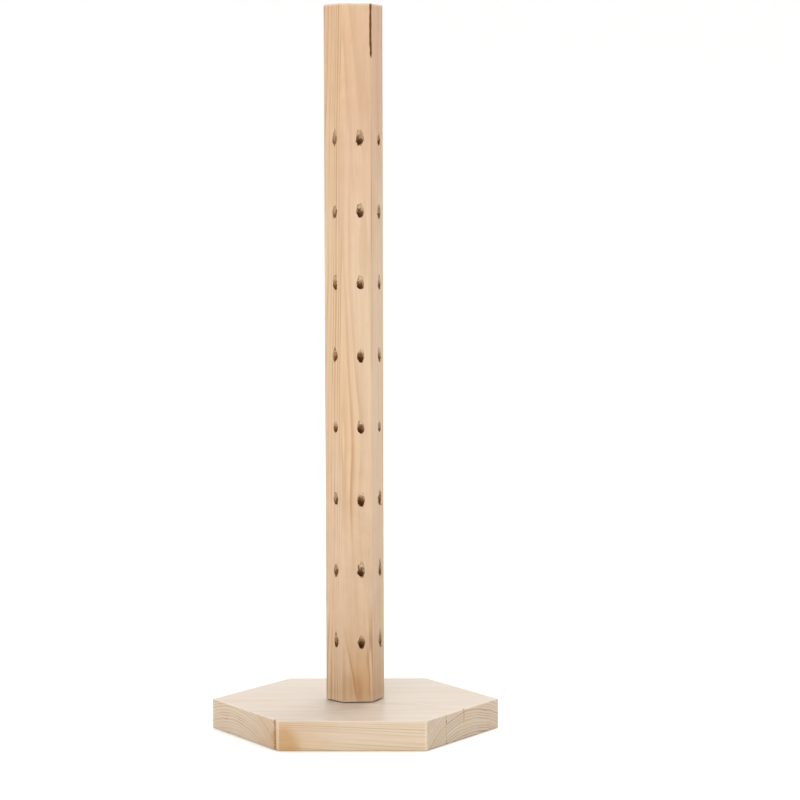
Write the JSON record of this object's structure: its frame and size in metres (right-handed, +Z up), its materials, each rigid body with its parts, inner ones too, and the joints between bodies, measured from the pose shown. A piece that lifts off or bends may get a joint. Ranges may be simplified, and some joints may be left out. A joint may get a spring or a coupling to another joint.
{
  "type": "yarn tower",
  "caption": "Bare pine yarn and thread tower: a hexagonal column drilled with rows of slanted peg holes, turning on a hexagonal base board.",
  "frame": {"origin": "on the surface that the base stands on, in the middle of the base, below the column's axis", "axes": "+Z up along the column's axis; -Y is the front, square to a flat side of the hexagonal base; +X to the right as seen from the front"},
  "size_m": [0.1674, 0.145, 0.42],
  "materials": {
    "base_pine": "bare planed softwood",
    "back_pine": "bare planed softwood",
    "column_pine": "bare planed softwood",
    "nylon": "natural moulded nylon",
    "zinc_steel": "zinc plated",
    "bolt_steel": "zinc plated",
    "brass": "turned"
  },
  "bodies": {
    "base": {"base_front_board": "base_pine", "base_back_board": "back_pine", "pivot_bush": "nylon", "bolt_washer": "zinc_steel"},
    "column": {"column": "column_pine", "threaded_insert": "brass", "pivot_bolt": "bolt_steel"}
  },
  "joints": [
    {"name": "column_spin", "type": "hinge", "parent": "base", "child": "column", "pos_m": [0, 0, 0.0175], "axis": [0, 0, 1], "continuous": true}
  ]
}
